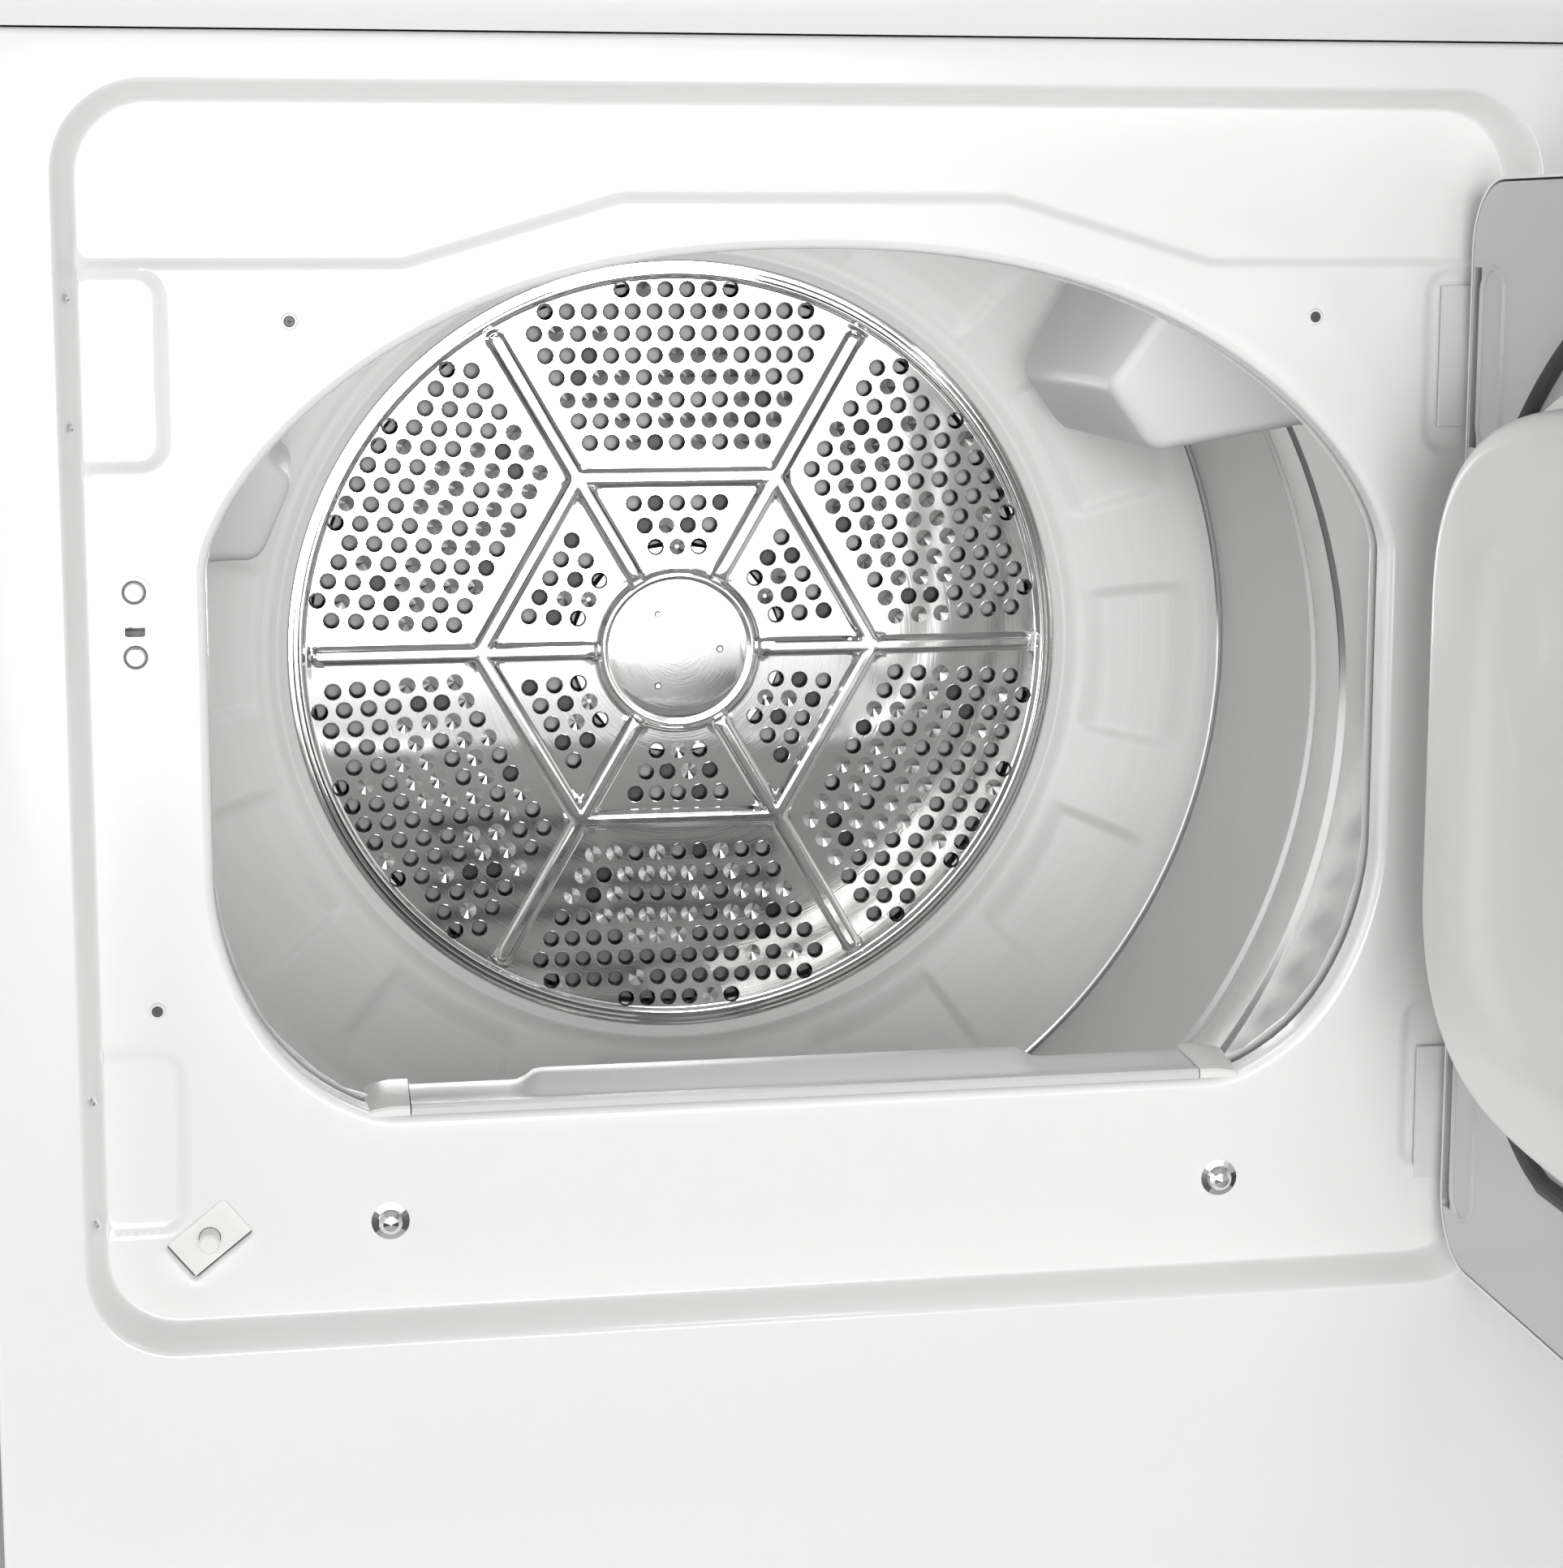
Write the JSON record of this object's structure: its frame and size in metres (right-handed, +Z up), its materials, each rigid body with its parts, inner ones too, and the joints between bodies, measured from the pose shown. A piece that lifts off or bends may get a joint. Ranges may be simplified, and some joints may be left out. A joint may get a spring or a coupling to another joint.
{
  "type": "clothes dryer",
  "caption": "Front-loading vented clothes dryer with a side-hinged door standing open, a perforated rotating drum, a lint filter and a rear console.",
  "frame": {"origin": "on the floor under the middle of the object's box, with the door open at a right angle", "axes": "+X to the dryer's right hand side seen from the front, +Y from the door towards the rear panel, +Z up"},
  "size_m": [0.686, 1.251, 1.079],
  "materials": {
    "enamel": "glossy white baked enamel",
    "galvanised": "galvanised steel sheet with a faint spangle",
    "drum_wall": "satin alloy drum wall",
    "drum_cone": "pale grey coated back cone",
    "polished_disc": "polished perforated steel",
    "baffle": "grey moulded plastic",
    "white_plastic": "white moulded plastic",
    "control_plastic": "grey moulded plastic",
    "duct_plastic": "grey glass-filled plastic",
    "black_plastic": "black moulded plastic",
    "filter_frame": "pale grey moulded plastic",
    "filter_mesh": "fine woven screen",
    "gasket": "dark soft rubber",
    "felt": "pressed felt",
    "belt": "black ribbed rubber",
    "feet": "black rubber",
    "steel": "plain machined steel",
    "zinc": "zinc plated steel",
    "chrome_trim": "bright plated steel",
    "motor_case": "cast motor case",
    "heating_wire": "oxidised resistance wire"
  },
  "bodies": {
    "cabinet": {"base_pan": "galvanised", "side_panel_left": "enamel", "side_panel_right": "enamel", "rear_panel": "galvanised", "terminal_cover": "galvanised", "terminal_block": "black_plastic", "top_cover": "enamel", "front_panel": "enamel", "front_bulkhead": "enamel", "drum_glide_left": "white_plastic", "drum_glide_right": "white_plastic", "front_felt_seal": "felt", "catch_plate": "white_plastic", "catch_clip": "chrome_trim", "door_switch_body": "white_plastic", "panel_screw_left": "chrome_trim", "panel_screw_right": "chrome_trim", "heater_housing": "galvanised", "rear_bearing": "steel", "heater_coil": "heating_wire", "lint_duct": "duct_plastic", "blower_housing": "duct_plastic", "exhaust_duct": "galvanised", "motor_housing": "motor_case", "motor_bracket": "galvanised", "drive_belt": "belt", "idler_bracket": "galvanised", "cabinet_hinge_leaf_top": "zinc", "cabinet_hinge_leaf_bottom": "zinc", "console_shell": "white_plastic", "console_rear_cover": "galvanised", "cycle_timer": "duct_plastic"},
    "door": {"door_outer_panel": "enamel", "door_inner_panel": "enamel", "door_liner": "white_plastic", "door_gasket": "gasket", "door_strike": "zinc", "door_hinge_leaf_top": "zinc", "door_hinge_leaf_bottom": "zinc"},
    "drum": {"drum_shell": "drum_wall", "drum_back_ring": "drum_cone", "drum_diffuser": "polished_disc", "drum_baffle_1": "baffle", "drum_baffle_2": "baffle", "drum_baffle_3": "baffle", "drum_shaft": "steel"},
    "motor_rotor": {"motor_shaft": "steel", "blower_wheel": "black_plastic"},
    "idler_arm": {"idler_arm": "steel"},
    "idler_wheel": {"idler_wheel": "duct_plastic"},
    "lint_filter": {"lint_filter_frame": "filter_frame", "lint_filter_mesh": "filter_mesh"},
    "switch_plunger": {"door_switch_plunger": "white_plastic"},
    "cycle_knob": {"cycle_knob": "white_plastic"},
    "temperature_knob": {"temperature_knob": "white_plastic"},
    "start_button": {"start_button": "control_plastic"},
    "foot_front_left": {"foot_front_left": "feet"},
    "foot_front_right": {"foot_front_right": "feet"},
    "foot_rear_left": {"foot_rear_left": "feet"},
    "foot_rear_right": {"foot_rear_right": "feet"}
  },
  "joints": [
    {"name": "door_swing", "type": "hinge", "parent": "cabinet", "child": "door", "pos_m": [0.29, -0.0405, 0.565], "axis": [0, 0, 1], "range_deg": [-90, 15]},
    {"name": "drum_spin", "type": "hinge", "parent": "cabinet", "child": "drum", "pos_m": [0, 0.2055, 0.565], "axis": [0, 1, 0], "continuous": true},
    {"name": "motor_spin", "type": "hinge", "parent": "cabinet", "child": "motor_rotor", "pos_m": [0.11, 0.1855, 0.135], "axis": [0, 1, 0], "continuous": true},
    {"name": "idler_swing", "type": "hinge", "parent": "cabinet", "child": "idler_arm", "pos_m": [0.235, 0.3025, 0.105], "axis": [0, 1, 0], "range_deg": [0, 15], "stiffness_Nm_per_rad": 0.8, "springref_deg": -22.92},
    {"name": "idler_spin", "type": "hinge", "parent": "idler_arm", "child": "idler_wheel", "pos_m": [0.172, 0.2955, 0.19], "axis": [0, 1, 0], "continuous": true},
    {"name": "lint_filter_slide", "type": "slide", "parent": "cabinet", "child": "lint_filter", "axis": [0, 0, 1], "range_m": [0, 0.205]},
    {"name": "door_switch_press", "type": "slide", "parent": "cabinet", "child": "switch_plunger", "axis": [0, 1, 0], "range_m": [0, 0.007], "stiffness_N_per_m": 150, "springref_m": -0.003},
    {"name": "cycle_knob_turn", "type": "hinge", "parent": "cabinet", "child": "cycle_knob", "pos_m": [0.19, 0.51033, 0.9993], "axis": [0, -0.9436, 0.3312], "continuous": true},
    {"name": "temperature_knob_turn", "type": "hinge", "parent": "cabinet", "child": "temperature_knob", "pos_m": [0.02, 0.51033, 0.9993], "axis": [0, -0.9436, 0.3312], "range_deg": [-135, 0]},
    {"name": "start_button_press", "type": "slide", "parent": "cabinet", "child": "start_button", "axis": [0, 0.9436, -0.3312], "range_m": [0, 0.004], "stiffness_N_per_m": 250, "springref_m": -0.003},
    {"name": "foot_front_left_screw_out", "type": "slide", "parent": "cabinet", "child": "foot_front_left", "axis": [0, 0, -1], "range_m": [0, 0.02]},
    {"name": "foot_front_right_screw_out", "type": "slide", "parent": "cabinet", "child": "foot_front_right", "axis": [0, 0, -1], "range_m": [0, 0.02]},
    {"name": "foot_rear_left_screw_out", "type": "slide", "parent": "cabinet", "child": "foot_rear_left", "axis": [0, 0, -1], "range_m": [0, 0.02]},
    {"name": "foot_rear_right_screw_out", "type": "slide", "parent": "cabinet", "child": "foot_rear_right", "axis": [0, 0, -1], "range_m": [0, 0.02]}
  ],
  "couplings": [
    {"joint": "motor_spin", "follows": "drum_spin", "ratio": 19.812},
    {"joint": "idler_spin", "follows": "drum_spin", "ratio": -14.409}
  ]
}
